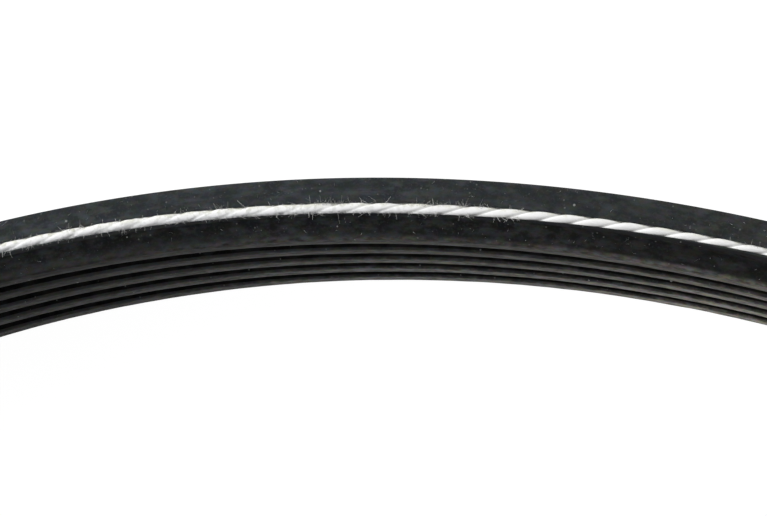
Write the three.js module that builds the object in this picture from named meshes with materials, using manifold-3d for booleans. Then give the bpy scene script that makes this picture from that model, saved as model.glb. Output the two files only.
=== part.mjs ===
// A multi-rib drive belt (serpentine belt): an endless rubber loop with V ribs running lengthwise on its
// inner side, a plain back outside, and a wound tensile cord that shows at both cut edges.
// It lies free on one cut edge, as a round loop. Millimetres, +Z up. The origin is the loop's centre, on the
// surface that the belt lies on.

import * as THREE from "three";
import { mergeVertices } from "three/addons/utils/BufferGeometryUtils.js";
import Module from "manifold-3d";

// Ribs
const RIB_COUNT = 5;
const RIB_PITCH = 3.56;
const RIB_HEIGHT = 1.65;
const RIB_TIP_WIDTH = 1.6;
const RIB_ANGLE = THREE.MathUtils.degToRad(40); // between the two flanks of one rib
const TIP_ROUND = 0.3;
const GROOVE_ROUND = 0.25;

// Rubber behind the ribs, from the back inwards
const BACK_COVER = 1.72; // over the cord
const CORD_DIAMETER = 1;
const CORD_SEAT = 0.13; // between the cord and the groove floors

// Loop
const CORD_LINE_LENGTH = 785; // once round the loop, along the middle of the cord

// Winding: the cord is wound as a helix through the rubber, and each cut edge lays bare most of one turn
const CORD_GAP = 0.1; // rubber between one turn and the next
const CORD_FIRST_SHOWS = 0.02; // how far the cord stands past the cut where it comes out of the rubber
const CORD_LAST_SEATED = 0.08; // how deep the cord still lies in the rubber where it was trimmed off
const CORD_PROUD = 0.2; // most that the cord stands past the upper cut
const CORD_RECESS = 0.05; // the cord at the lower cut stays this far inside it, so that the belt lies flat
const CORD_CLEARANCE = 0.05; // between the cord and its channel
const CORD_START = THREE.MathUtils.degToRad(57.5); // where the cord leaves the rubber, from +X towards +Y

// Fineness of the faceted surfaces
const LOOP_SEGMENTS = 72;
const ROUND_STEPS = 2;
const GROOVE_STEPS = 1;
const CORD_SIDES = 8;
const ROUND_SHARE = 0.45; // most of a straight stretch of the section that the round at one of its ends takes

// Worked out from the sizes above
const BELT_WIDTH = RIB_COUNT * RIB_PITCH;
const CORD_RADIUS = CORD_DIAMETER / 2;
const CORD_LINE_RADIUS = CORD_LINE_LENGTH / (2 * Math.PI);
const BACK_RADIUS = CORD_LINE_RADIUS + CORD_RADIUS + BACK_COVER;
const FLOOR_RADIUS = CORD_LINE_RADIUS - CORD_RADIUS - CORD_SEAT;
const TIP_RADIUS = FLOOR_RADIUS - RIB_HEIGHT;
const FLANK_RUN = RIB_HEIGHT * Math.tan(RIB_ANGLE / 2);
const CORD_SPACING = CORD_DIAMETER + CORD_GAP;

const wasm = await Module();
wasm.setup();

// Materials
const rubber = new THREE.MeshStandardMaterial({ color: 0x26282a, roughness: 0.75, metalness: 0 });
const polyester = new THREE.MeshStandardMaterial({ color: 0xe9e9e4, roughness: 0.8, metalness: 0 });

function toSolid(geometry) {
  const bare = geometry.clone();
  bare.deleteAttribute("normal");
  bare.deleteAttribute("uv");
  const merged = mergeVertices(bare);
  return new wasm.Manifold(
    new wasm.Mesh({
      numProp: 3,
      vertProperties: merged.attributes.position.array,
      triVerts: new Uint32Array(merged.index.array),
    }),
  );
}

function toGeometry(solid) {
  const mesh = solid.getMesh();
  const geometry = new THREE.BufferGeometry();
  geometry.setAttribute("position", new THREE.BufferAttribute(mesh.vertProperties, 3));
  geometry.setIndex(new THREE.BufferAttribute(mesh.triVerts, 1));
  geometry.computeVertexNormals();
  return geometry;
}

// The arc that rounds a corner, no larger than the straight stretches on either side leave room for
function roundCorner({ at, round, steps }, before, after) {
  const toBefore = before.clone().sub(at).normalize();
  const toAfter = after.clone().sub(at).normalize();
  const halfAngle = Math.acos(toBefore.dot(toAfter)) / 2;
  const room = ROUND_SHARE * Math.min(at.distanceTo(before), at.distanceTo(after));
  const setback = Math.min(round / Math.tan(halfAngle), room);
  const start = at.clone().addScaledVector(toBefore, setback);
  const end = at.clone().addScaledVector(toAfter, setback);
  const toCentre = toBefore.clone().add(toAfter).normalize();
  const centre = at.clone().addScaledVector(toCentre, setback / Math.cos(halfAngle));
  const radius = centre.distanceTo(start);
  const startAngle = start.clone().sub(centre).angle();
  const turn = Math.sign(toAfter.cross(toBefore)) * (Math.PI - 2 * halfAngle);
  const arc = [start];
  for (let i = 1; i < steps; i += 1) {
    const angle = startAngle + (turn * i) / steps;
    arc.push(new THREE.Vector2(Math.cos(angle), Math.sin(angle)).multiplyScalar(radius).add(centre));
  }
  arc.push(end);
  return arc;
}

// The belt's section as a closed outline: x is the distance from the loop's axis, y the height
function beltSection() {
  const sharp = (x, y) => ({ at: new THREE.Vector2(x, y), round: 0 });
  const rounded = (x, y, round, steps) => ({ at: new THREE.Vector2(x, y), round, steps });
  const corners = [sharp(BACK_RADIUS, 0), sharp(BACK_RADIUS, BELT_WIDTH), sharp(FLOOR_RADIUS, BELT_WIDTH)];
  for (let rib = 0; rib < RIB_COUNT; rib += 1) {
    const middle = BELT_WIDTH - (rib + 0.5) * RIB_PITCH;
    const tipHalf = RIB_TIP_WIDTH / 2;
    const rootHalf = tipHalf + FLANK_RUN;
    corners.push(
      rounded(FLOOR_RADIUS, middle + rootHalf, GROOVE_ROUND, GROOVE_STEPS),
      rounded(TIP_RADIUS, middle + tipHalf, TIP_ROUND, ROUND_STEPS),
      rounded(TIP_RADIUS, middle - tipHalf, TIP_ROUND, ROUND_STEPS),
      rounded(FLOOR_RADIUS, middle - rootHalf, GROOVE_ROUND, GROOVE_STEPS),
    );
  }
  corners.push(sharp(FLOOR_RADIUS, 0));
  return corners.flatMap((corner, i) => {
    const before = corners.at(i - 1).at;
    const after = corners[(i + 1) % corners.length].at;
    return corner.round ? roundCorner(corner, before, after) : [corner.at];
  });
}

// The loop is turned by half a facet, so that a flat facet faces each way along X and Y
function beltLoop() {
  const section = beltSection();
  const closed = [...section, section[0]];
  return new THREE.LatheGeometry(closed, LOOP_SEGMENTS, Math.PI / LOOP_SEGMENTS).rotateX(Math.PI / 2);
}

// The middle line of the turn that a cut edge lays bare. It climbs by one spacing each time round.
class BaredTurn extends THREE.Curve {
  constructor(edgeHeight, firstLift, lastLift) {
    super();
    this.edgeHeight = edgeHeight;
    this.firstLift = firstLift;
    this.lastLift = lastLift;
    this.sweep = ((lastLift - firstLift) / CORD_SPACING) * 2 * Math.PI;
  }

  getPoint(t, target = new THREE.Vector3()) {
    const angle = CORD_START + t * this.sweep;
    return target.set(
      CORD_LINE_RADIUS * Math.cos(angle),
      CORD_LINE_RADIUS * Math.sin(angle),
      this.edgeHeight + THREE.MathUtils.lerp(this.firstLift, this.lastLift, t),
    );
  }

  get steps() {
    return Math.round((this.sweep / (2 * Math.PI)) * LOOP_SEGMENTS);
  }
}

function tubeAlong(turn, radius) {
  const ring = Array.from({ length: CORD_SIDES }, (_, i) => {
    const angle = ((i + 0.5) / CORD_SIDES) * 2 * Math.PI;
    return new THREE.Vector2(radius * Math.cos(angle), radius * Math.sin(angle));
  });
  return new THREE.ExtrudeGeometry(new THREE.Shape(ring), { steps: turn.steps, extrudePath: turn });
}

// What is kept of the cord lies between two heights
function slab(lowest, highest) {
  const across = 2 * BACK_RADIUS;
  return new THREE.BoxGeometry(across, across, highest - lowest).translate(0, 0, (lowest + highest) / 2);
}

const deepestLift = CORD_RADIUS - CORD_FIRST_SHOWS;
const shallowestLift = CORD_RADIUS - CORD_LAST_SEATED;
const upperTurn = new BaredTurn(BELT_WIDTH, -deepestLift, shallowestLift);
const lowerTurn = new BaredTurn(0, -shallowestLift, deepestLift);

function beltBody() {
  return [upperTurn, lowerTurn].reduce(
    (body, turn) => body.subtract(toSolid(tubeAlong(turn, CORD_RADIUS + CORD_CLEARANCE))),
    toSolid(beltLoop()),
  );
}

function upperCord() {
  const kept = toSolid(slab(0, BELT_WIDTH + CORD_PROUD));
  return toSolid(tubeAlong(upperTurn, CORD_RADIUS)).intersect(kept);
}

function lowerCord() {
  const kept = toSolid(slab(CORD_RECESS, BELT_WIDTH));
  return toSolid(tubeAlong(lowerTurn, CORD_RADIUS)).intersect(kept);
}

function named(name, solid, material) {
  const mesh = new THREE.Mesh(toGeometry(solid), material);
  mesh.name = name;
  return mesh;
}

const belt = new THREE.Group();
belt.add(
  named("belt_body", beltBody(), rubber),
  named("tensile_cord_upper_edge", upperCord(), polyester),
  named("tensile_cord_lower_edge", lowerCord(), polyester),
);

export default belt;
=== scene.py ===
# The looks of a multi-rib drive belt that lies on one cut edge as a round loop: black rubber with V ribs on
# its inner side, and a white three-ply cord that the cut edges lay bare. Metres, +Z up, with the origin at
# the loop's centre on the floor.

import math
from typing import NamedTuple

import bpy
import numpy as np
from mathutils import Matrix, Vector


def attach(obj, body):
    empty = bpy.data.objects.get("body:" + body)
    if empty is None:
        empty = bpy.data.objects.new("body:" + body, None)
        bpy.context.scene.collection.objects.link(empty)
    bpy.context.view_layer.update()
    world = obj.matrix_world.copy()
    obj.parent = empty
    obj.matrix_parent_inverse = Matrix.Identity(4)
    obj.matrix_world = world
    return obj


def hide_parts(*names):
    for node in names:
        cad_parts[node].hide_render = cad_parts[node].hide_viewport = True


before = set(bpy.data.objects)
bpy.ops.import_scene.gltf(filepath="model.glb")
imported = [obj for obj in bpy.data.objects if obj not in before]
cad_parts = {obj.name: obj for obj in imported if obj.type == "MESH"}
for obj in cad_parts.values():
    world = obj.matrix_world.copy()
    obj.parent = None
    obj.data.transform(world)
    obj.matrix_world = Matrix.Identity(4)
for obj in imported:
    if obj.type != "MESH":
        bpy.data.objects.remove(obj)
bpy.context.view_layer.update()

MM = 0.001
TURN = 2 * math.pi
WHITE = (1, 1, 1, 1)

# Belt, from the frame
body_points = np.array([v.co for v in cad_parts["belt_body"].data.vertices])
body_radii = np.hypot(body_points[:, 0], body_points[:, 1])
BELT_WIDTH = body_points[:, 2].max()
BACK_RADIUS = body_radii.max()
TIP_RADIUS = body_radii.min()

# Belt, section
RIB_COUNT = 5
RIB_PITCH = BELT_WIDTH / RIB_COUNT
RIB_HEIGHT = 1.65 * MM
RIB_TIP_WIDTH = 1.6 * MM
FLANK_SLOPE = math.radians(40) / 2  # half the angle between the two flanks of one rib
FLANK_RUN = RIB_HEIGHT * math.tan(FLANK_SLOPE)
TIP_ROUND = 0.3 * MM
GROOVE_ROUND = 0.25 * MM
BACK_EDGE_ROUND = 0.1 * MM
INNER_EDGE_ROUND = 0.03 * MM
FLOOR_RADIUS = TIP_RADIUS + RIB_HEIGHT
GROOVE_FROM = 0.15 * MM  # distance from the rib tips at which the painted shade of the grooves begins

# Bared cord, as the CAD winds it
CORD_RADIUS = 0.5 * MM
CORD_SEAT = 0.13 * MM
CORD_SPACING = 1.1 * MM
CORD_LINE_RADIUS = FLOOR_RADIUS + CORD_SEAT + CORD_RADIUS
CORD_START = math.radians(57.5)
CORD_DEEPEST = 0.48 * MM
CORD_SHALLOWEST = 0.42 * MM
CORD_SWEEP = (CORD_DEEPEST + CORD_SHALLOWEST) / CORD_SPACING * TURN
CORD_END = CORD_START + CORD_SWEEP
CORD_PROUD = 0.2 * MM
CORD_RECESS = 0.05 * MM

# Bared cord, as it really lies
CORD_RUN_IN = math.radians(5)  # the stretch before the start, where the cord dips under the rubber
CORD_DIVE = 0.12 * MM  # how much deeper it is where that stretch begins
CORD_WAVES = 10  # times that the cord wanders in and out, and up and down, round the loop
CORD_WANDER = 0.11 * MM
CORD_INMOST = math.radians(85.5)
CORD_BOB = 0.04 * MM
CORD_TOPMOST = math.radians(87.5)
CORD_FROM = CORD_START - CORD_RUN_IN * 0.9
CORD_TRIMMED = CORD_END - math.radians(0.3)
TRIM_TAPER = 1.2 * MM  # length over which the cord thins to its trimmed end
TRIM_SHARE = 0.35  # of the cord's thickness that is left there

# Cord make-up
PLIES = 3
LAY = 6.65 * MM  # length in which a ply goes once round the cord
LOOSE_LAY = 7.25 * MM  # the same where the cord is teased out
LAY_FROM = math.radians(80.3)  # where a ply faces straight out of the loop
PLY_OFFSET = 0.16 * MM  # from the cord's axis to the middle of a ply
PLY_LEAN = 0.7  # below 1, each ply bulges more on the side that the next one does not cover
PLY_SIDES = 10
LUMPS = 0.001 * MM

# Cord's wear
SHAVED_FROM = math.radians(82)  # from here on the cut has gone into the cord
SHAVED_FULLY = math.radians(90.5)
SHAVED_PROUD = 0.08 * MM  # most that the cord stands past the cut where its middle lies deep
SHAVED_LIFT = -0.3 * MM  # a middle that lies higher than this lets the cord stand out further, to CORD_PROUD
SHAVED_RELIEF = 0.04 * MM  # most that the ply lobes still stand out where the cut shaved them
SHAVED_REACH = 2.5 * SHAVED_RELIEF  # how much a lobe stood out, to keep most of that relief
SHAVED_FILL = 0.2  # share of the valleys between the plies that the fray fills
SHAVED_LUMPS = 0.010 * MM
RECESS_RELIEF = 0.02  # share of a lobe's height that still shows where the lower cut took it off
TEASED_FROM = SHAVED_FROM - math.radians(1)
TEASED_FULLY = SHAVED_FROM + math.radians(2)

# Channel that the cord lies in
CHANNEL_RADIUS = CORD_RADIUS + 0.02 * MM
CLOSED_WIDTH = 0.05  # share of its width that the channel keeps where it is closed
BURR_TOP = 0.05 * MM  # from the channel to the top of the burr beside it
BURR_FOOT = 3.5 * BURR_TOP
BURR_INMOST = FLOOR_RADIUS + 1.8 * INNER_EDGE_ROUND

# Flat part of the cut face
FACE_FROM = BACK_RADIUS - 8 * BACK_EDGE_ROUND
FACE_TO = CORD_LINE_RADIUS + 1.6 * CHANNEL_RADIUS

# Unevenness of the rubber, and the number of waves round the loop that the finest of it has
RIB_WANDER = 0.01 * MM
RIB_WAVES = 300
FACE_HOLLOW = 0.015 * MM
FACE_WAVES = 60
BURR_HEIGHT = 0.03 * MM
BURR_WAVES = 180

# Fineness of the rubber, which keeps it under 200,000 triangles
LOOP_STEPS = 672
ROUND_STEPS = 3
CHANNEL_STEPS = 12
FACE_ROWS = 4
BACK_ROWS = (0.1, 0.3, 0.5, 0.7, 0.9)  # heights, as shares of the belt's width

# Loose filaments of the cord
FUZZ_COUNT = 11000
STRAY_COUNT = 1000
PHOTOGRAPHED_TUFTS = np.radians([88.7, 88.4, 85.5, 84.95, 84.7, 83.85, 74.5])  # where strays stand up
OTHER_TUFT_COUNT = 60
TUFT_SPREAD = math.radians(0.3)
HAIR_SIDES = 3
HAIR_RADIUS = 0.011 * MM
HAIR_RADII = (0.6, 1.3)  # least and most, as shares of that radius
HAIR_TIP = 0.4  # share of a hair's thickness that is left at its tip
HAIR_ROOTS = (0.55, 1.0)  # where hairs leave the cord, as shares of half its bared width
HAIR_ROOT_RISE = 0.9  # how high they leave it, as a share of its height there
LEAST_HALF_WIDTH = 0.1 * MM  # of the bared cord, for the hairs where it lies all but covered
HAIR_ACROSS = (0.3, 1.0)  # how strongly hairs point away from the cord
HAIR_ALONG = 0.7  # how strongly they point along it
HAIR_CURL = 0.45
HAIR_CEILING = 0.45 * MM  # most that a hair stands above the cut

# Lint on the rubber
LINT_COUNT = 2600
LINT_ON_FLANK = 0.4  # share of the lint that lies on the top rib's flank, not on the cut face
LINT_DOWN_FLANK = (0.1, 0.8)  # in rib heights
LINT_MARGIN = 0.2 * MM  # between the lint and the back
LINT_CURL = 0.5
LINT_RADII = (0.006, 0.016)  # mm
LINT_SHORTEST = 0.04 * MM
LINT_SPREAD = 0.3 * MM  # how much longer the longest is

# Camera: the photograph's, fitted to the belt's edges, cord and grooves
IMAGE_WIDTH_PX = 767
SENSOR_WIDTH_MM = 36
FOCAL_PX = 1766.3
CAMERA_PLACE = Vector((32.94, 94.37, 141.12)) * MM
CAMERA_PITCH = math.radians(-11.881)
CAMERA_YAW = math.radians(-11.805)
CLIP_START = 0.01
CLIP_END = 20

# Studio
FLOOR_HALF = 3.0
FLOOR_DROP = 0.02 * MM  # from the belt to the floor, so that their faces don't meet
FLOOR_GLOW = 0.97
WORLD_LEVEL = 0.34


class Lamp(NamedTuple):
    name: str
    place: tuple
    target: tuple
    size: float
    power: float


LAMPS = (
    Lamp("key", place=(-0.2, 0.95, 0.65), target=(0, 0.05, 0), size=0.6, power=9.5),
    Lamp("side", place=(-0.55, 0.05, 0.16), target=(0.03, 0.12, 0), size=0.25, power=3.5),
)


class Cut(NamedTuple):
    """One of the belt's two cut edges, with the turn of cord that it lays bare. A lift is the height of the
    cord's middle above the cut."""

    height: float
    up: int  # 1 where the cut faces up, -1 where it faces down
    first_lift: float
    last_lift: float
    burr_height: float


UPPER_CUT = Cut(BELT_WIDTH, 1, -CORD_DEEPEST, CORD_SHALLOWEST, BURR_HEIGHT)
LOWER_CUT = Cut(0, -1, -CORD_SHALLOWEST, CORD_DEEPEST, 0)


# Meshes


def add_piece(name, points, faces, materials, replaced=None, sharp_from=35):
    """A mesh object in the row's frame that rides on the belt. sharp_from: the least angle of a hard edge."""
    mesh = bpy.data.meshes.new(name)
    mesh.from_pydata(points.tolist(), [], faces)
    for material in materials:
        mesh.materials.append(material)
    mesh.shade_smooth()
    mesh.set_sharp_from_angle(angle=math.radians(sharp_from))
    piece = bpy.data.objects.new(name, mesh)
    bpy.context.scene.collection.objects.link(piece)
    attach(piece, "root")
    if replaced:
        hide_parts(replaced)
    return piece


def grid_faces(rings, sides, closed_rings):
    """Quads between neighbouring rings of points. With closed_rings, the last ring joins the first."""
    ring = np.arange(rings if closed_rings else rings - 1)[:, None]
    side = np.arange(sides)[None, :]
    next_ring = (ring + 1) % rings
    next_side = (side + 1) % sides
    corners = [ring * sides + side, next_ring * sides + side]
    corners += [next_ring * sides + next_side, ring * sides + next_side]
    quads = np.stack([np.broadcast_to(c, (len(ring), sides)) for c in corners], axis=-1)
    return quads.reshape(-1, 4).tolist()


def around_loop(radius, angle, height):
    """Points from their distance to the loop's axis, angle and height."""
    x = radius * np.cos(angle)
    y = radius * np.sin(angle)
    return np.stack(np.broadcast_arrays(x, y, height), axis=-1)


def loop_noise(rng, angle, finest):
    """A smooth wandering value of about -1 to 1 along the loop, with no seam. finest: its count of waves."""
    waves = np.arange(1, finest + 1)
    weight = rng.normal(size=finest)
    phase = rng.uniform(0, TURN, finest)
    return (weight * np.cos(np.multiply.outer(angle, waves) + phase)).sum(axis=-1) / math.sqrt(finest)


def smooth(low, high, value):
    t = np.clip((value - low) / (high - low), 0, 1)
    return t * t * (3 - 2 * t)


# Rubber


def round_corner(before, corner, after, radius):
    """Points of the arc that rounds a corner of the section."""
    before, corner, after = (np.array(p, float) for p in (before, corner, after))
    to_before = (before - corner) / np.linalg.norm(before - corner)
    to_after = (after - corner) / np.linalg.norm(after - corner)
    inwards = (to_before + to_after) / np.linalg.norm(to_before + to_after)
    half = math.acos(np.dot(to_before, to_after)) / 2
    setback = radius / math.tan(half)
    start = corner + to_before * setback
    end = corner + to_after * setback
    middle = corner + inwards * radius / math.sin(half)
    share = np.linspace(0, 1, ROUND_STEPS + 1)[:, None]
    chord = start + (end - start) * share - middle
    return middle + chord / np.linalg.norm(chord, axis=1, keepdims=True) * radius


def rounded_outline(corners):
    """corners: (radius, height, round) in order. The first and last are kept as they are."""
    points = [np.array([corners[0][:2]])]
    for before, corner, after in zip(corners, corners[1:], corners[2:]):
        if corner[2]:
            points.append(round_corner(before[:2], corner[:2], after[:2], corner[2]))
        else:
            points.append(np.array([corner[:2]]))
    points.append(np.array([corners[-1][:2]]))
    return np.concatenate(points)


def back_outline():
    """From the lower cut edge, up the back, to the upper cut edge."""
    inset = 4 * BACK_EDGE_ROUND
    corners = [(BACK_RADIUS - inset, 0, 0), (BACK_RADIUS, 0, BACK_EDGE_ROUND)]
    corners += [(BACK_RADIUS, BELT_WIDTH * share, 0) for share in BACK_ROWS]
    corners += [(BACK_RADIUS, BELT_WIDTH, BACK_EDGE_ROUND), (BACK_RADIUS - inset, BELT_WIDTH, 0)]
    return rounded_outline(corners)


def rib_outline():
    """From the upper cut edge, down over the ribs, to the lower cut edge."""
    tip_half = RIB_TIP_WIDTH / 2
    root_half = tip_half + FLANK_RUN
    inset = 1.5 * INNER_EDGE_ROUND
    corners = [(FLOOR_RADIUS + inset, BELT_WIDTH, 0), (FLOOR_RADIUS, BELT_WIDTH, INNER_EDGE_ROUND)]
    for rib in range(RIB_COUNT):
        middle = BELT_WIDTH - (rib + 0.5) * RIB_PITCH
        corners += [
            (FLOOR_RADIUS, middle + root_half, GROOVE_ROUND),
            (TIP_RADIUS, middle + tip_half, TIP_ROUND),
            (TIP_RADIUS, middle - tip_half, TIP_ROUND),
            (FLOOR_RADIUS, middle - root_half, GROOVE_ROUND),
        ]
    corners += [(FLOOR_RADIUS, 0, INNER_EDGE_ROUND), (FLOOR_RADIUS + inset, 0, 0)]
    return rounded_outline(corners)


def cord_lift(angle, cut):
    """Height of the bared cord's middle above the cut, by angle along the loop."""
    bob = CORD_BOB * np.cos(CORD_WAVES * (angle - CORD_TOPMOST))
    dive = CORD_DIVE * (1 - smooth(CORD_START - CORD_RUN_IN, CORD_START + CORD_RUN_IN / 2, angle))
    climb = (cut.last_lift - cut.first_lift) * (angle - CORD_START) / CORD_SWEEP
    return cut.first_lift + climb + cut.up * (bob - dive)


def cord_line(angle):
    """Distance of the bared cord's middle from the loop's axis."""
    return CORD_LINE_RADIUS - CORD_WANDER * np.cos(CORD_WAVES * (angle - CORD_INMOST))


def cut_face(angle, cut, rng):
    """Radius and height of the cut face's points from the outside in, for each angle: the flat, a burr, the
    channel that the cord lies in, and the burr on its other side."""
    opened = smooth(CORD_START - CORD_RUN_IN, CORD_START, angle)
    opened = np.where(angle < CORD_END, opened, 0)[:, None]
    width_share = np.maximum(opened, CLOSED_WIDTH)
    line = cord_line(angle)[:, None]
    sink = cut.up * cord_lift(angle, cut)[:, None]
    lip_angle = np.arcsin(np.clip(sink / CHANNEL_RADIUS, -1, 1))
    reach = CHANNEL_RADIUS * np.cos(lip_angle) * width_share

    flat = np.tile(np.linspace(FACE_FROM, FACE_TO, FACE_ROWS), (len(angle), 1))
    hollows = [-np.abs(loop_noise(rng, angle, FACE_WAVES)) * FACE_HOLLOW for _ in range(FACE_ROWS)]
    outer_burr = line + np.concatenate([reach + BURR_FOOT, reach + BURR_TOP], axis=1)
    inner_burr = line - np.concatenate([reach + BURR_TOP, reach + BURR_FOOT], axis=1)
    inner_burr = np.maximum(inner_burr, BURR_INMOST)
    burr = np.abs(loop_noise(rng, angle, BURR_WAVES))[:, None] * cut.burr_height
    foot = np.zeros_like(burr)
    share = np.linspace(0, 1, CHANNEL_STEPS + 1)[None, :]
    bend = -lip_angle + (-math.pi + 2 * lip_angle) * share
    channel = line + CHANNEL_RADIUS * np.cos(bend) * width_share
    depth = (sink + CHANNEL_RADIUS * np.sin(bend)) * opened

    radius = np.concatenate([flat, outer_burr, channel, inner_burr], axis=1)
    height = np.concatenate([np.stack(hollows, axis=1), foot, burr, depth, burr, foot], axis=1)
    return radius, cut.height + cut.up * height


def uneven_ribs(angle, rng):
    """Radius and height of the rib side's points from the upper cut edge down, for each angle."""
    outline = rib_outline()
    radius = np.tile(outline[:, 0], (len(angle), 1))
    height = np.tile(outline[:, 1], (len(angle), 1))
    for i in range(1, len(outline) - 1):
        radius[:, i] += loop_noise(rng, angle, RIB_WAVES) * RIB_WANDER
        height[:, i] += loop_noise(rng, angle, RIB_WAVES) * RIB_WANDER
    return radius, np.clip(height, 0, BELT_WIDTH)


def rubber_kinds(radius, height):
    """The number of its material, for each strip along the loop: 0 cover, 1 ribs, 2 grooves in painted shade.
    """
    strip_radius = np.median(radius + np.roll(radius, -1, axis=1), axis=0) / 2
    strip_height = np.median(height + np.roll(height, -1, axis=1), axis=0) / 2
    on_ribs = strip_radius < FLOOR_RADIUS + INNER_EDGE_ROUND
    in_groove = on_ribs & (strip_radius > TIP_RADIUS + GROOVE_FROM)
    in_groove &= (strip_height > RIB_PITCH / 2) & (strip_height < BELT_WIDTH - RIB_PITCH / 2)
    return np.where(in_groove, 2, np.where(on_ribs, 1, 0)).astype(np.int32)


def add_rubber(cover, ribs, grooves, seed):
    rng = np.random.default_rng(seed)
    step = TURN / LOOP_STEPS
    angle = CORD_START - CORD_RUN_IN - step / 4 + np.arange(LOOP_STEPS) * step
    back = back_outline()
    upper_radius, upper_height = cut_face(angle, UPPER_CUT, rng)
    lower_radius, lower_height = cut_face(angle, LOWER_CUT, rng)
    rib_radius, rib_height = uneven_ribs(angle, rng)
    back_radius = np.tile(back[:, 0], (LOOP_STEPS, 1))
    back_height = np.tile(back[:, 1], (LOOP_STEPS, 1))
    radius = np.concatenate([back_radius, upper_radius, rib_radius, lower_radius[:, ::-1]], axis=1)
    height = np.concatenate([back_height, upper_height, rib_height, lower_height[:, ::-1]], axis=1)
    points = around_loop(radius, angle[:, None], height)
    faces = grid_faces(LOOP_STEPS, points.shape[1], closed_rings=True)
    materials = (cover, ribs, grooves)
    body = add_piece("ribbed_rubber_body", points.reshape(-1, 3), faces, materials, "belt_body")
    kinds = np.tile(rubber_kinds(radius, height), LOOP_STEPS)
    body.data.polygons.foreach_set("material_index", kinds)


# Cord


def ply_section():
    """Distance from the cord's axis to its surface, round the three plies."""
    side = np.arange(PLIES * PLY_SIDES)
    off_middle = (((side % PLY_SIDES) / PLY_SIDES) ** PLY_LEAN - 0.5) * TURN / PLIES
    ply_radius = CORD_RADIUS - PLY_OFFSET
    return PLY_OFFSET * np.cos(off_middle) + np.sqrt(ply_radius ** 2 - (PLY_OFFSET * np.sin(off_middle)) ** 2)


def cord_twist(angle):
    """How far the plies have turned round the cord's axis, by angle along the loop."""
    lay = LAY + (LOOSE_LAY - LAY) * smooth(TEASED_FROM, TEASED_FULLY, angle)
    twist = np.cumsum(CORD_LINE_RADIUS / lay) * (angle[1] - angle[0]) * TURN
    return twist - np.interp(LAY_FROM, angle, twist)


def worn_section(profile, angle, shaved, rng):
    """The profile at each angle, after wear: lumpy, filled with fray, and thin at the trimmed end."""
    section = profile + SHAVED_FILL * (CORD_RADIUS - profile) * shaved
    lumps = rng.normal(size=section.shape)
    lumps = lumps + np.roll(lumps, 1, axis=0) + np.roll(lumps, 1, axis=1)
    section = section + lumps * (LUMPS + SHAVED_LUMPS * shaved)
    to_end = (CORD_TRIMMED - angle) * CORD_LINE_RADIUS
    taper = TRIM_SHARE + (1 - TRIM_SHARE) * smooth(0, TRIM_TAPER, to_end)
    return section * taper[:, None]


def cut_down(rise, lift, cut):
    """The cord's surface height over the cut, after the cut took off what stood too far out."""
    if cut is LOWER_CUT:
        return np.where(rise < CORD_RECESS, CORD_RECESS + (CORD_RECESS - rise) * RECESS_RELIEF, rise)
    proud = SHAVED_PROUD + (CORD_PROUD - SHAVED_PROUD) * smooth(SHAVED_LIFT, 0, lift)[:, None]
    excess = np.maximum(rise - proud, 0)
    return np.minimum(rise, proud) + SHAVED_RELIEF * (1 - np.exp(-excess / SHAVED_REACH))


def add_cord(name, replaced, material, cut, rings_per_lay, seed):
    """The bared turn of twisted cord. Where the cut went through it, it is shaved flat and frayed."""
    rng = np.random.default_rng(seed)
    rings = round((CORD_TRIMMED - CORD_FROM) * CORD_LINE_RADIUS / LAY * rings_per_lay)
    angle = np.linspace(CORD_FROM, CORD_TRIMMED, rings)
    lift = cord_lift(angle, cut)
    shaved = smooth(SHAVED_FROM, SHAVED_FULLY, angle)[:, None]
    profile = ply_section()
    sides = len(profile)
    section = worn_section(profile, angle, shaved, rng)
    turned = np.arange(sides) / sides * TURN + cord_twist(angle)[:, None]
    radius = cord_line(angle)[:, None] + section * np.cos(turned)
    rise = cut_down(section * np.sin(turned) + lift[:, None], lift, cut)
    points = around_loop(radius, angle[:, None], cut.height + rise).reshape(-1, 3)
    last_ring = (rings - 1) * sides
    faces = [face[::-1] for face in grid_faces(rings, sides, closed_rings=False)]
    faces += [list(range(sides)), list(range(last_ring + sides - 1, last_ring - 1, -1))]
    piece = add_piece(name, points, faces, [material], replaced, sharp_from=60)
    valley = (CORD_RADIUS - profile) / (CORD_RADIUS - profile.min())
    for key, value in (("valley", valley), ("worn", shaved), ("outward", np.cos(turned))):
        spread = np.broadcast_to(value, section.shape).ravel()
        piece.data.attributes.new(key, "FLOAT", "POINT").data.foreach_set("value", spread)


# Loose fibres


def add_fibres(name, material, roots, directions, bends, lengths, radii, knots, keep_out=None):
    """Thin three-sided hairs, each with its root, direction, sideways bend, length and radius."""
    share = np.linspace(0, 1, knots)[None, :, None]
    reach = lengths[:, None, None]
    path = roots[:, None, :] + reach * (directions[:, None, :] * share + bends[:, None, :] * share ** 2)
    if keep_out:
        path = keep_out(path, radii)
    across = np.cross(directions, bends + (0.01, 0.02, 0.03))
    across /= np.linalg.norm(across, axis=1, keepdims=True)
    over = np.cross(directions, across)
    corner = np.arange(HAIR_SIDES)[:, None] * TURN / HAIR_SIDES
    ring = across[:, None, None, :] * np.cos(corner) + over[:, None, None, :] * np.sin(corner)
    thickness = radii[:, None, None, None] * (1 - (1 - HAIR_TIP) * share[..., None])
    points = (path[:, :, None, :] + thickness * ring).reshape(-1, 3)
    first = (np.arange(len(roots)) * knots * HAIR_SIDES)[:, None, None]
    quads = np.array(grid_faces(knots, HAIR_SIDES, closed_rings=False))
    tip = (knots - 1) * HAIR_SIDES
    ends = np.array([[2, 1, 0], [tip, tip + 1, tip + 2]])
    faces = (quads[None] + first).reshape(-1, 4).tolist()
    faces += (ends[None] + first).reshape(-1, 3).tolist()
    add_piece(name, points, faces, [material])


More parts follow.
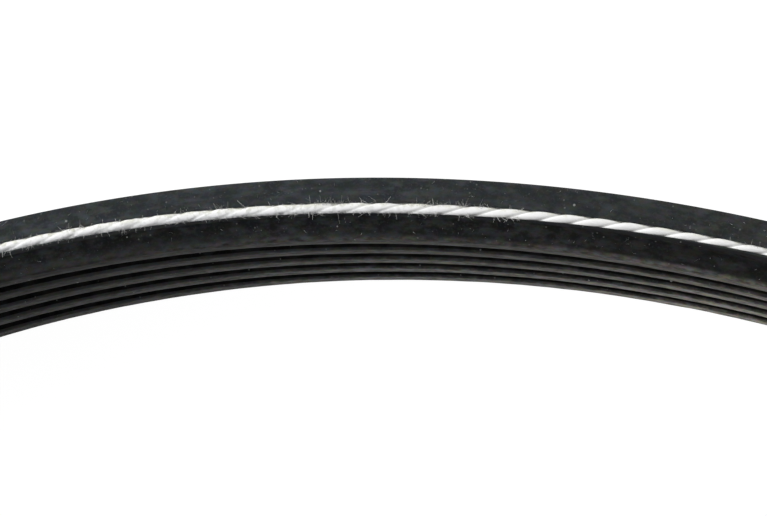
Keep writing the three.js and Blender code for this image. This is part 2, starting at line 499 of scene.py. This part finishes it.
def loop_axes(angle):
    """Outward, along (towards growing angles) and up, at each angle."""
    zero = np.zeros_like(angle)
    outward = np.stack([np.cos(angle), np.sin(angle), zero], axis=1)
    along = np.stack([-np.sin(angle), np.cos(angle), zero], axis=1)
    up = np.stack([zero, zero, zero + 1], axis=1)
    return outward, along, up


def above_cut(path, radii):
    """Keeps hairs out of the rubber beside the cord, and close to the cut face."""
    path[..., 2] = np.clip(path[..., 2], BELT_WIDTH + radii[:, None], BELT_WIDTH + HAIR_CEILING)
    return path


def add_filaments(name, material, angle, outer_share, shortest, longest, steepest, knots, rng):
    """Hairs that stand off the upper cut's bared cord at the angles given. outer_share of them point towards
    the belt's back, and the others towards its ribs."""
    count = len(angle)
    outward, along, up = loop_axes(angle)
    lift = cord_lift(angle, UPPER_CUT)
    half_width = np.sqrt(np.maximum(CORD_RADIUS ** 2 - lift ** 2, LEAST_HALF_WIDTH ** 2))[:, None]
    way = np.where(rng.uniform(0, 1, (count, 1)) < outer_share, 1, -1)
    side = way * rng.uniform(*HAIR_ROOTS, (count, 1))
    crown = np.minimum(CORD_RADIUS + lift, SHAVED_PROUD)[:, None] * np.sqrt(1 - side ** 2)
    roots = outward * (cord_line(angle)[:, None] + half_width * side)
    roots += up * (BELT_WIDTH + crown * HAIR_ROOT_RISE)
    directions = outward * way * rng.uniform(*HAIR_ACROSS, (count, 1))
    directions += along * rng.normal(0, HAIR_ALONG, (count, 1))
    directions += up * rng.uniform(0, steepest, (count, 1))
    directions /= np.linalg.norm(directions, axis=1, keepdims=True)
    bends = rng.normal(0, HAIR_CURL, (count, 3))
    lengths = rng.uniform(0, 1, count) ** 2 * (longest - shortest) + shortest
    radii = HAIR_RADIUS * rng.uniform(*HAIR_RADII, count)
    add_fibres(name, material, roots, directions, bends, lengths, radii, knots, above_cut)


def add_fuzz(rng):
    """Short fuzz all along the frayed part of the cord."""
    material = fibre_material("loose_filaments", (0.8, 0.8, 0.78, 1), (0.55, 0.55, 0.52, 1))
    angle = SHAVED_FROM + (CORD_END - SHAVED_FROM) * rng.uniform(0, 1, FUZZ_COUNT)
    add_filaments(
        "cord_fuzz", material, angle, outer_share=0.3, shortest=0.08 * MM, longest=0.42 * MM,
        steepest=0.4, knots=3, rng=rng,
    )


def add_strays(rng):
    """Longer hairs that stand up from the cord in tufts."""
    material = fibre_material("stray_hairs", (0.42, 0.42, 0.40, 1), (0.25, 0.25, 0.24, 1))
    tufts = np.concatenate([PHOTOGRAPHED_TUFTS, rng.uniform(SHAVED_FROM, CORD_END, OTHER_TUFT_COUNT)])
    tuft = rng.choice(tufts, STRAY_COUNT)
    angle = np.clip(tuft + rng.normal(0, TUFT_SPREAD, STRAY_COUNT), CORD_START, CORD_END)
    add_filaments(
        "stray_filaments", material, angle, outer_share=0.88, shortest=0.2 * MM, longest=0.65 * MM,
        steepest=1.2, knots=4, rng=rng,
    )


def add_lint(seed):
    """Short fibres that lie on the upper cut face and on the flank of the rib below it."""
    rng = np.random.default_rng(seed)
    angle = rng.uniform(0, TURN, LINT_COUNT)
    outward, along, up = loop_axes(angle)
    on_face = rng.uniform(CORD_LINE_RADIUS + CORD_RADIUS, BACK_RADIUS - LINT_MARGIN, LINT_COUNT)[:, None]
    on_flank = (rng.uniform(0, 1, LINT_COUNT) < LINT_ON_FLANK)[:, None]
    down_flank = rng.uniform(*LINT_DOWN_FLANK, LINT_COUNT)[:, None] * RIB_HEIGHT
    flank_top = BELT_WIDTH - (RIB_PITCH - RIB_TIP_WIDTH) / 2 + FLANK_RUN
    height = np.where(on_flank, flank_top - down_flank * math.tan(FLANK_SLOPE), BELT_WIDTH)
    radius = np.where(on_flank, FLOOR_RADIUS - down_flank, on_face)
    level = math.cos(FLANK_SLOPE)
    steep = math.sin(FLANK_SLOPE)
    across = np.where(on_flank, outward * level + up * steep, outward)
    normal = np.where(on_flank, up * level - outward * steep, up)
    way = rng.uniform(0, TURN, LINT_COUNT)[:, None]
    directions = along * np.cos(way) + across * np.sin(way)
    sideways = along * -np.sin(way) + across * np.cos(way)
    bends = sideways * rng.normal(0, LINT_CURL, (LINT_COUNT, 1))
    radii = rng.uniform(*LINT_RADII, LINT_COUNT) * MM
    roots = outward * radius + up * height + normal * radii[:, None]
    lengths = LINT_SHORTEST + LINT_SPREAD * rng.uniform(0, 1, LINT_COUNT) ** 3
    material = fibre_material("lint", (0.35, 0.37, 0.37, 1), (0.12, 0.13, 0.13, 1))
    add_fibres("rubber_lint", material, roots, directions, bends, lengths, radii, knots=4)


# Node trees


class Nodes:
    """A node tree that starts empty, with short calls for the nodes that this script uses. A span is a pair
    of numbers: where a value starts and where it ends."""

    def __init__(self, tree):
        self.tree = tree
        self.tree.nodes.clear()

    def feed(self, socket, value):
        if isinstance(value, bpy.types.NodeSocket):
            self.tree.links.new(value, socket)
        else:
            socket.default_value = value

    def add(self, kind, inputs=None, **settings):
        """A new node. inputs: values or sockets, by the name or number of the input they feed."""
        node = self.tree.nodes.new(kind)
        for key, value in settings.items():
            setattr(node, key, value)
        for key, value in (inputs or {}).items():
            self.feed(node.inputs[key], value)
        return node

    def result(self, kind, inputs=None, **settings):
        """The first output of a new node."""
        return self.add(kind, inputs, **settings).outputs[0]

    def show(self, shader, output="ShaderNodeOutputMaterial"):
        self.add(output, {"Surface": shader})

    def compute(self, operation, a, b=0.0):
        return self.result("ShaderNodeMath", {0: a, 1: b}, operation=operation)

    def plus(self, a, b):
        return self.compute("ADD", a, b)

    def minus(self, a, b):
        return self.compute("SUBTRACT", a, b)

    def times(self, a, b):
        return self.compute("MULTIPLY", a, b)

    def over(self, a, b):
        return self.compute("DIVIDE", a, b)

    def step(self, value, span, to_span=(0.0, 1.0)):
        """Goes smoothly from the start of to_span to its end, as value crosses span."""
        inputs = {"Value": value, "From Min": span[0], "From Max": span[1]}
        inputs |= {"To Min": to_span[0], "To Max": to_span[1]}
        return self.result("ShaderNodeMapRange", inputs, interpolation_type="SMOOTHSTEP")

    def mix(self, share, a, b, blend="MIX"):
        inputs = {"Factor": share, "A": a, "B": b}
        node = self.add("ShaderNodeMix", inputs, data_type="RGBA", blend_type=blend)
        return node.outputs["Result"]

    def noise(self, vector, scale, detail=3.0, roughness=0.55, w=None):
        inputs = {"Vector": vector, "Scale": scale, "Detail": detail, "Roughness": roughness}
        if w is None:
            return self.add("ShaderNodeTexNoise", inputs, noise_dimensions="3D").outputs["Fac"]
        return self.add("ShaderNodeTexNoise", inputs | {"W": w}, noise_dimensions="4D").outputs["Fac"]

    def specks(self, vector, scale, largest):
        """Small round spots, one in some of the cells of a scattered grid."""
        cells = self.add("ShaderNodeTexVoronoi", {"Vector": vector, "Scale": scale})
        chance = self.result("ShaderNodeSeparateColor", {"Color": cells.outputs["Color"]})
        size = self.step(chance, (0.45, 1.0), (0.0, largest))
        return self.compute("LESS_THAN", cells.outputs["Distance"], size)

    def place_in_mm(self):
        place = self.add("ShaderNodeTexCoord").outputs["Object"]
        return self.result("ShaderNodeVectorMath", {0: place, "Scale": 1 / MM}, operation="SCALE")

    def attribute(self, name):
        return self.add("ShaderNodeAttribute", attribute_name=name).outputs["Fac"]

    def bump(self, height, strength, distance):
        inputs = {"Height": height, "Strength": strength, "Distance": distance}
        return self.result("ShaderNodeBump", inputs)

    def principled(self, inputs):
        return self.result("ShaderNodeBsdfPrincipled", inputs)

    def diffuse(self, grey):
        return self.result("ShaderNodeBsdfDiffuse", {"Color": (grey, grey, grey, 1)})

    def background(self, strength):
        return self.result("ShaderNodeBackground", {"Color": WHITE, "Strength": strength})


class BeltNodes(Nodes):
    """Nodes that know the place on the belt in mm, and the way out of the loop: along_x is 1 towards +X."""

    def __init__(self, tree):
        super().__init__(tree)
        self.place = self.place_in_mm()
        x, y, self.z = self.add("ShaderNodeSeparateXYZ", {"Vector": self.place}).outputs
        self.radius = self.compute("SQRT", self.plus(self.times(x, x), self.times(y, y)))
        self.along_x = self.over(x, self.radius)
        self.along_y = self.over(y, self.radius)

    def along_loop(self, wavelength, across, seed):
        """Noise with no seam: wavelength is its length along the loop and across its width, in mm."""
        spread = BACK_RADIUS / MM / wavelength
        vector = self.result("ShaderNodeCombineXYZ", {
            "X": self.times(self.along_x, spread),
            "Y": self.times(self.along_y, spread),
            "Z": self.plus(self.over(self.radius, across), seed),
        })
        return self.noise(vector, 1.0, 4.0, 0.6, w=self.over(self.z, across))


def new_material(name, nodes_class=Nodes):
    material = bpy.data.materials.new(name)
    material.use_nodes = True
    return material, nodes_class(material.node_tree)


# Rubber materials


def tinted(nodes, color, tint):
    """Faint blotches of green, red, yellow and blue, and painted shade: a darker, less blue black towards +X.
    """
    redder = nodes.step(nodes.along_loop(0.45, 0.3, 31.0), (0.4, 0.6))
    bluer = nodes.step(nodes.along_loop(0.6, 0.35, 37.0), (0.38, 0.62))
    # Painted shade: a darker, less blue black towards +X
    shade_towards_x = nodes.step(nodes.along_x, (0.0, 0.26))
    green = (1 - tint / 2, 1 + tint / 3, 1, 1)
    red = (1 + tint / 2, 1 - tint / 3, 1, 1)
    yellow = (1, 1, 1 - tint, 1)
    blue = (1, 1, 1 + tint, 1)
    shaded_tint = (0.86, 0.82, 0.78, 1)
    for share, start, end in ((redder, green, red), (bluer, yellow, blue), (shade_towards_x, WHITE, shaded_tint)):
        color = nodes.mix(1.0, color, nodes.mix(share, start, end), "MULTIPLY")
    return color


def dusty(nodes, color):
    """Many fine specks of grey dust, and a few coarse pale ones."""
    fine = nodes.times(nodes.specks(nodes.place, 2.2, 0.16), 0.4)
    coarse = nodes.times(nodes.specks(nodes.place, 0.8, 0.08), 0.5)
    color = nodes.mix(fine, color, (0.16, 0.165, 0.16, 1))
    return nodes.mix(coarse, color, (0.36, 0.37, 0.36, 1))


def worn_tips_and_painted_sheen(nodes, color):
    """Rib tips pale in blotches of wear, plus painted sheen towards +X and painted floor light on the lower
    ribs.
    """
    tip = TIP_RADIUS / MM
    width = BELT_WIDTH / MM
    pitch = RIB_PITCH / MM

    # How pale the tips are: wear, with painted sheen that grows towards +X and painted floor light on the
    # lower ribs
    wear = nodes.step(nodes.along_x, (-0.2, 0.1), (0.1, 0.26))
    wear = nodes.plus(wear, nodes.step(nodes.along_x, (0.1, 0.3), (0.0, 0.3)))
    wear = nodes.minus(wear, nodes.step(nodes.along_x, (0.35, 0.8), (0.0, 0.25)))
    wear = nodes.times(wear, nodes.step(nodes.z, (-0.3 * width, width), (1.9, 0.45)))
    wear = nodes.times(wear, nodes.step(nodes.along_loop(0.9, 0.35, 23.0), (0.3, 0.7), (0.4, 1.75)))
    # The tips' pale colour: wear and painted sheen together
    worn = nodes.mix(wear, (0.008, 0.008, 0.008, 1), (0.360, 0.362, 0.344, 1))

    # Towards -X, the flanks near the tips are greyer too
    near_tip = nodes.step(nodes.radius, (tip + 1.0, tip + 0.2))
    greyer_flanks = nodes.times(near_tip, nodes.step(nodes.along_x, (0.15, -0.3), (0.05, 0.5)))
    color = nodes.mix(greyer_flanks, color, (0.052, 0.053, 0.052, 1))

    # A tip is pale near its rib's middle and darker towards its corners, as painted shade. The distance to
    # that middle counts half on the top rib's upper half and the bottom rib's lower half, so the pale reaches
    # further there.
    in_pitch = nodes.compute("FRACT", nodes.over(nodes.z, pitch))
    off_middle = nodes.times(nodes.compute("ABSOLUTE", nodes.minus(in_pitch, 0.5)), pitch)
    ragged = nodes.step(nodes.along_loop(0.7, 0.5, 41.0), (0.35, 0.65), (-0.06, 0.06))
    off_middle = nodes.plus(off_middle, ragged)
    for middle, weights in ((width - pitch / 2, (1.0, 0.5)), (pitch / 2, (0.5, 1.0))):
        off_middle = nodes.times(off_middle, nodes.step(nodes.z, (middle - 0.1, middle + 0.1), weights))
    at_tip = nodes.step(nodes.radius, (tip + 0.45, tip + 0.08))
    crown = nodes.times(at_tip, nodes.step(off_middle, (0.92, 0.4)))
    return nodes.mix(crown, color, worn)


def painted_shade_rim(nodes, color):
    """Painted shade: a dark line along the inner edge of the cut face, where it meets the first flank."""
    floor = FLOOR_RADIUS / MM
    rim = nodes.step(nodes.radius, (floor + 0.32, floor + 0.2), (0.0, 0.85))
    return nodes.mix(rim, color, (0.003, 0.003, 0.004, 1))


def rubber_material(name, dark, pale, tint, roughness, specular, wear=None):
    """Black rubber: mottled, faintly streaked along the loop and dusty. wear changes its mottled colour."""
    material, nodes = new_material(name, BeltNodes)
    mottle = nodes.along_loop(1.3, 0.6, 3.0)
    patches = nodes.along_loop(6.0, 1.6, 7.0)
    streaks = nodes.along_loop(9.0, 0.25, 11.0)
    grain = nodes.noise(nodes.place, 4.5, 4.0, 0.65)
    color = nodes.mix(nodes.step(mottle, (0.38, 0.66)), dark, pale)
    color = nodes.mix(nodes.step(grain, (0.5, 0.7), (0.0, 0.7)), color, pale)
    color = nodes.mix(nodes.step(patches, (0.58, 0.38), (0.0, 0.4)), color, dark)
    color = nodes.mix(nodes.step(streaks, (0.45, 0.3), (0.0, 0.3)), color, dark)
    # wear paints the rib tips' wear with painted sheen, and on the cover the painted shade along its inner
    # rim
    if wear:
        color = wear(nodes, color)
    relief = nodes.plus(nodes.times(grain, 0.7), nodes.times(mottle, 1.2))
    nodes.show(nodes.principled({
        "Base Color": dusty(nodes, tinted(nodes, color, tint)),
        "Roughness": nodes.plus(nodes.step(mottle, (0.3, 0.7), (-0.06, 0.06)), roughness),
        "Specular IOR Level": specular,
        "Normal": nodes.bump(relief, 0.8, 0.03 * MM),
    }))
    return material


def cover_material():
    dark = (0.0125, 0.0155, 0.017, 1)
    pale = (0.041, 0.046, 0.048, 1)
    # The cover's inner rim gets painted shade
    return rubber_material("cover_rubber", dark, pale, tint=0.18, roughness=0.6, specular=0.1, wear=painted_shade_rim)


def rib_material():
    dark = (0.0084, 0.0091, 0.0095, 1)
    pale = (0.032, 0.034, 0.035, 1)
    return rubber_material("rib_rubber", dark, pale, tint=0.21, roughness=0.65, specular=0.03, wear=worn_tips_and_painted_sheen)


# Painted shade: the grooves between ribs get near-black rubber with no reflection, for the shade deep in them
def groove_shade_material():
    dark = (0.004, 0.004, 0.004, 1)
    pale = (0.014, 0.014, 0.014, 1)
    return rubber_material("groove_shade_rubber", dark, pale, tint=0.2, roughness=0.7, specular=0.0)


# Fibre materials


def cord_material():
    """White polyester, with painted shade on it. Where it is worn it is greyer, frayed and bitten."""
    material, nodes = new_material("white_polyester_cord")
    place = nodes.place_in_mm()
    blotch = nodes.noise(place, 1.4)
    fluff = nodes.noise(place, 2.2, 3.0, 0.6)
    nibble = nodes.noise(place, 2.6, 2.0)
    valley = nodes.attribute("valley")
    worn = nodes.attribute("worn")
    outward = nodes.attribute("outward")
    blotched = nodes.step(blotch, (0.4, 0.75), (0.0, 0.4))
    color = nodes.mix(blotched, (0.88, 0.88, 0.88, 1), (0.78, 0.79, 0.77, 1))
    greyed = nodes.times(nodes.step(fluff, (0.46, 0.66)), worn)
    color = nodes.mix(greyed, color, (0.64, 0.65, 0.63, 1))
    # Painted shade: darker and yellower on the side towards the back
    back_side_shade = nodes.times(nodes.step(fluff, (0.42, 0.6), (0.15, 0.75)), nodes.step(outward, (-0.1, 0.6)))
    color = nodes.mix(back_side_shade, color, (0.66, 0.66, 0.55, 1))
    # Painted shade: where worn, greyer and bluer on the side towards the ribs
    frayed = nodes.times(nodes.step(outward, (0.3, -0.8), (0.0, 0.8)), worn)
    color = nodes.mix(frayed, color, (0.58, 0.59, 0.61, 1))
    bitten = nodes.times(nodes.step(nibble, (0.5, 0.62), (0.0, 0.8)), nodes.step(outward, (-0.35, -0.85)))
    color = nodes.mix(nodes.times(bitten, worn), color, (0.16, 0.16, 0.19, 1))
    # Painted shade in the valleys between the plies, fainter where the cord is worn
    seam = nodes.times(nodes.step(valley, (0.4, 1.0)), nodes.step(worn, (0.0, 1.0), (0.7, 0.25)))
    nodes.show(nodes.principled({
        "Base Color": nodes.mix(seam, color, (0.40, 0.40, 0.39, 1)),
        "Roughness": 0.7,
        "Specular IOR Level": 0.3,
        "Normal": nodes.bump(fluff, 0.4, 0.02 * MM),
        "Sheen Weight": 0.1,
        "Sheen Roughness": 0.4,
    }))
    return material


def fibre_material(name, pale, dull):
    material, nodes = new_material(name)
    varied = nodes.step(nodes.noise(nodes.place_in_mm(), 2.0, 2.0), (0.35, 0.65))
    color = nodes.mix(varied, pale, dull)
    nodes.show(nodes.principled({"Base Color": color, "Roughness": 0.6, "Specular IOR Level": 0.3}))
    return material


# Studio


def where_seen(nodes, lit, seen):
    """Shows seen to the camera, a mirror or a glass, and lit to the light that falls on the object."""
    path = nodes.add("ShaderNodeLightPath").outputs
    directly = nodes.compute("MAXIMUM", path["Is Camera Ray"], path["Is Glossy Ray"])
    directly = nodes.compute("MAXIMUM", directly, path["Is Transmission Ray"])
    return nodes.result("ShaderNodeMixShader", {0: directly, 1: lit, 2: seen})


def floor_material():
    """White where it is looked at, with the object's faint shadow, and a plain pale floor for the light."""
    material, nodes = new_material("pale_floor")
    glow = nodes.result("ShaderNodeEmission", {"Color": WHITE, "Strength": FLOOR_GLOW})
    white = nodes.result("ShaderNodeAddShader", {0: nodes.diffuse(0.12), 1: glow})
    nodes.show(where_seen(nodes, nodes.diffuse(0.8), white))
    return material


def add_floor():
    mesh = bpy.data.meshes.new("floor")
    ways = ((-1, -1), (1, -1), (1, 1), (-1, 1))
    corners = [(x * FLOOR_HALF, y * FLOOR_HALF, -FLOOR_DROP) for x, y in ways]
    mesh.from_pydata(corners, [], [(0, 1, 2, 3)])
    mesh.materials.append(floor_material())
    floor = bpy.data.objects.new("floor", mesh)
    bpy.context.scene.collection.objects.link(floor)


def add_world():
    """Plain light from all around, and a white backdrop for what the camera, a mirror or a glass sees."""
    world = bpy.data.worlds.new("studio")
    bpy.context.scene.world = world
    world.use_nodes = True
    nodes = Nodes(world.node_tree)
    chosen = where_seen(nodes, nodes.background(WORLD_LEVEL), nodes.background(1.0))
    nodes.show(chosen, "ShaderNodeOutputWorld")


def add_lamp(lamp):
    light = bpy.data.lights.new(lamp.name, "AREA")
    light.shape = "SQUARE"
    light.size = lamp.size
    light.energy = lamp.power
    holder = bpy.data.objects.new(lamp.name, light)
    bpy.context.scene.collection.objects.link(holder)
    holder.location = lamp.place
    aim = Vector(lamp.target) - Vector(lamp.place)
    holder.rotation_euler = aim.to_track_quat("-Z", "Y").to_euler()


def add_camera():
    camera = bpy.data.cameras.new("camera")
    camera.sensor_fit = "HORIZONTAL"
    camera.sensor_width = SENSOR_WIDTH_MM
    camera.lens = SENSOR_WIDTH_MM * FOCAL_PX / IMAGE_WIDTH_PX
    camera.clip_start = CLIP_START
    camera.clip_end = CLIP_END
    holder = bpy.data.objects.new("camera", camera)
    bpy.context.scene.collection.objects.link(holder)
    to_camera = Matrix.Rotation(CAMERA_PITCH, 4, "X") @ Matrix.Rotation(CAMERA_YAW, 4, "Y")
    holder.matrix_world = Matrix.Translation(CAMERA_PLACE) @ to_camera.inverted()
    bpy.context.scene.camera = holder


# Scene

add_camera()
add_rubber(cover_material(), rib_material(), groove_shade_material(), seed=5)
cord = cord_material()
add_cord("twisted_cord_upper_edge", "tensile_cord_upper_edge", cord, UPPER_CUT, rings_per_lay=28, seed=11)
add_cord("twisted_cord_lower_edge", "tensile_cord_lower_edge", cord, LOWER_CUT, rings_per_lay=14, seed=12)
hair_rng = np.random.default_rng(21)
add_fuzz(hair_rng)
add_strays(hair_rng)
add_lint(seed=23)
add_floor()
add_world()
for lamp in LAMPS:
    add_lamp(lamp)
bpy.context.scene.view_settings.view_transform = "Standard"
